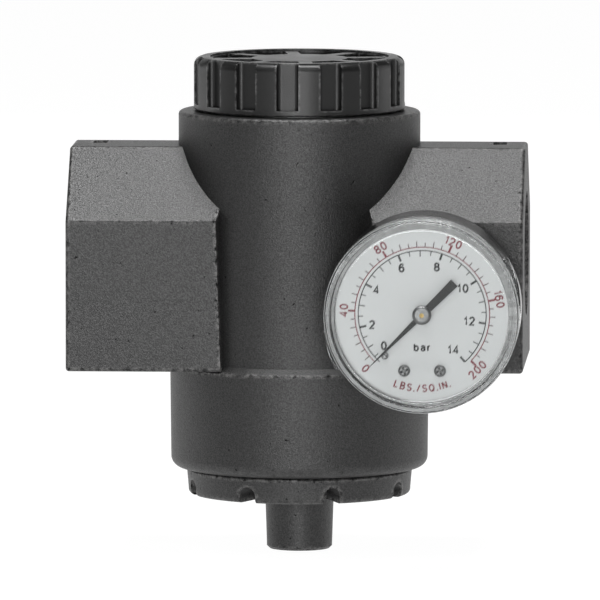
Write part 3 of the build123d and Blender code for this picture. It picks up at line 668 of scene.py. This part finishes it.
def gauge_lens():
    """The clear lens, turned about the gauge's axis, standing in for the CAD lens."""
    profile = lens_profile()
    steps = [k * LENS_STEP for k in range(int(360 / LENS_STEP))]
    on_lugs = [start - back for start in LUG_STARTS for back in (LUG_STEP, 0.8, 0.0)]
    angles = sorted(set(steps + on_lugs))
    verts, faces = [], []
    for angle in angles:
        for radius, forward, share in profile:
            x, y = polar(radius + share * lug(angle), angle)
            verts.append((x * MM, y * MM, forward * MM))
    rows, columns = len(angles), len(profile)
    for i in range(rows):
        for j in range(columns - 1):
            here, beside = i * columns + j, ((i + 1) % rows) * columns + j
            faces.append([here, beside, beside + 1, here + 1])
    piece = piece_from("lens_moulding", verts, faces, ON_DIAL, "housing",
                       materials["clear_plastic"])
    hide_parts("gauge_lens")


gauge_lens()


# ---------------------------------------------------------------- threads
THREAD_STEPS = 72           # per turn


def helical_ridge(name, radius, crest, pitch, turns, placement, material):
    """A helical thread ridge of the housing that stands from radius to crest, in millimetres."""
    steps = THREAD_STEPS
    half, tip = pitch * 0.46, pitch * 0.07
    section = [(radius, -half), (crest, -tip), (crest, tip), (radius, half)]
    verts, faces = [], []
    count = int(turns * steps)
    for k in range(count + 1):
        angle = 360.0 * k / steps
        fade = min(1.0, k / (steps * 0.5), (count - k) / (steps * 0.5))
        for r, along in section:
            x, y = polar(radius + (r - radius) * fade, angle)
            verts.append((x * MM, y * MM, (pitch * k / steps + along * max(fade, 0.02)) * MM))
    for k in range(count):
        for j in range(4):
            a, b = 4 * k + j, 4 * k + (j + 1) % 4
            faces.append([a, b, b + 4, a + 4])
    faces.append([3, 2, 1, 0])
    faces.append([4 * count + j for j in range(4)])
    piece_from(name, verts, faces, placement, "housing", material)


PORT_ROOT_R, PORT_CREST_R, PORT_PITCH, PORT_TURNS = 16.45, 15.3, 2.21, 7.5
PORT_THREAD_INSET = 2.4     # from the port's mouth to the ridge's outer end
for label, mouth, side in (("inlet", body_low.x, -1), ("outlet", body_high.x, 1)):
    start = mouth - side * (PORT_PITCH * PORT_TURNS + PORT_THREAD_INSET) * MM
    turn = Matrix.Rotation(math.radians(90 * side), 4, "Y")
    helical_ridge(f"{label}_thread", PORT_ROOT_R, PORT_CREST_R, PORT_PITCH, PORT_TURNS,
                  Matrix.Translation((start, 0, 0)) @ turn, materials["bonnet_zinc"])

# the last turns of the gauge's pipe thread show between the block and the wrench square
SOCKET_R, SOCKET_CREST_R, SOCKET_PITCH, SOCKET_TURNS = 6.45, 6.85, 0.94, 1.0
SOCKET_THREAD_FROM_DIAL = -29.55
helical_ridge("socket_thread", SOCKET_R, SOCKET_CREST_R, SOCKET_PITCH, SOCKET_TURNS,
              ON_DIAL @ Matrix.Translation((0, 0, SOCKET_THREAD_FROM_DIAL * MM)),
              materials["brass"])


def deforming_copy(node, suffix):
    """A copy of a CAD node's surface in the node's material, shown in place of the node, which is hidden."""
    piece = bpy.data.objects.new(f"{node}_{suffix}", frame["nodes"][node].data.copy())
    bpy.context.scene.collection.objects.link(piece)
    dress(piece, materials[slot_of[node]])
    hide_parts(node)
    return piece


def compressing_spring(node):
    """A copy of a coil spring with its own mesh, riding on the housing in place of the CAD node."""
    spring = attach(deforming_copy(node, "coil"), "housing")
    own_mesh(spring)


def flexing_tube(node):
    """A copy of the Bourdon tube with its placement baked into the mesh, shown in place of the CAD node."""
    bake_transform(deforming_copy(node, "flexing"))


compressing_spring("range_spring")
compressing_spring("valve_spring")
flexing_tube("bourdon_tube")


# ---------------------------------------------------------------- stage, light and camera
def seen_by_camera(s, for_light, for_camera):
    """A value that differs between what the camera sees and what lights the object."""
    path = s.nodes.new("ShaderNodeLightPath")
    return s.ramp(path.outputs["Is Camera Ray"], 0.0, 1.0, for_light, for_camera)


def floor():
    """A plain floor under the object, close to white in the picture."""
    s = Shader("floor_white")
    s.set(color=grey(0.12), rough=s.ramp(s.noise(3, 2.0, 0.5), 0.3, 0.7, 0.85, 0.95), spec=0.0)
    s.bsdf.inputs["Emission Color"].default_value = grey(1.0)
    s.put(seen_by_camera(s, 0.8, 0.97), s.bsdf, "Emission Strength")
    mesh = bpy.data.meshes.new("floor")
    reach, height = 12.0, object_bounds()[0][2]
    corners = ((-reach, -reach), (reach, -reach), (reach, reach), (-reach, reach))
    mesh.from_pydata([(x, y, height) for x, y in corners], [], [(0, 1, 2, 3)])
    mesh.materials.append(s.material)
    piece = bpy.data.objects.new("floor", mesh)
    bpy.context.scene.collection.objects.link(piece)
    piece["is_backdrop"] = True


def softbox(name, across, forward, up, width, height, power):
    """A rectangular lamp placed from the body's axis and aimed at its middle, in metres and watts."""
    centre = Vector((AXIS_X, 0, 0))
    place = Vector((AXIS_X + across, forward, up))
    lamp = bpy.data.lights.new(name, "AREA")
    lamp.shape = "RECTANGLE"
    lamp.size, lamp.size_y, lamp.energy = width, height, power
    holder = bpy.data.objects.new(name, lamp)
    bpy.context.scene.collection.objects.link(holder)
    holder.location = place
    holder.rotation_euler = (centre - place).to_track_quat("-Z", "Y").to_euler()
    holder.visible_camera = False


def sky():
    """White to the camera, and a soft dome that is bright overhead and dim low down."""
    world = bpy.data.worlds.new("studio")
    bpy.context.scene.world = world
    world.use_nodes = True
    nodes, links = world.node_tree.nodes, world.node_tree.links
    direction = nodes.new("ShaderNodeTexCoord")
    parts = nodes.new("ShaderNodeSeparateXYZ")
    dome = nodes.new("ShaderNodeMapRange")
    dome.inputs["From Min"].default_value, dome.inputs["From Max"].default_value = 0.0, 0.9
    dome.inputs["To Min"].default_value, dome.inputs["To Max"].default_value = 0.0, 0.08
    path = nodes.new("ShaderNodeLightPath")
    shown = nodes.new("ShaderNodeMix")
    shown.inputs["B"].default_value = 1.0
    links.new(direction.outputs["Generated"], parts.inputs[0])
    links.new(parts.outputs["Z"], dome.inputs["Value"])
    links.new(path.outputs["Is Camera Ray"], shown.inputs["Factor"])
    links.new(dome.outputs["Result"], shown.inputs["A"])
    links.new(shown.outputs["Result"], nodes["Background"].inputs["Strength"])
    nodes["Background"].inputs["Color"].default_value = grey(1.0)


def camera():
    """Long lens from slightly above and a little to the outlet side."""
    azimuth, elevation, distance = math.radians(3.0), math.radians(5.65), 3.17
    target = Vector((AXIS_X + 0.00013, 0.0, -0.0129))
    back = Vector((math.sin(azimuth) * math.cos(elevation), -math.cos(azimuth) * math.cos(elevation),
                   math.sin(elevation)))
    lens = bpy.data.cameras.new("camera")
    lens.sensor_width = 36.0
    lens.angle = math.radians(2.865)
    holder = bpy.data.objects.new("camera", lens)
    bpy.context.scene.collection.objects.link(holder)
    holder.location = target + back * distance
    holder.rotation_euler = (-back).to_track_quat("-Z", "Y").to_euler()
    bpy.context.scene.camera = holder


floor()
sky()
softbox("front_box", 0.0, -1.15, 0.11, 0.5, 0.26, 4.4)
softbox("top_box", 0.0, -0.12, 1.15, 0.8, 0.5, 13.0)
softbox("brow_box", 0.0, -0.85, 0.8, 0.8, 0.5, 2.2)
softbox("left_box", -1.0, 0.4, 0.1, 0.3, 0.9, 1.5)
softbox("right_box", 1.0, 0.4, 0.1, 0.3, 0.9, 1.5)
softbox("back_box", 0.0, 1.3, 0.3, 1.6, 0.4, 2.5)
camera()
bpy.context.scene.view_settings.view_transform = "Standard"
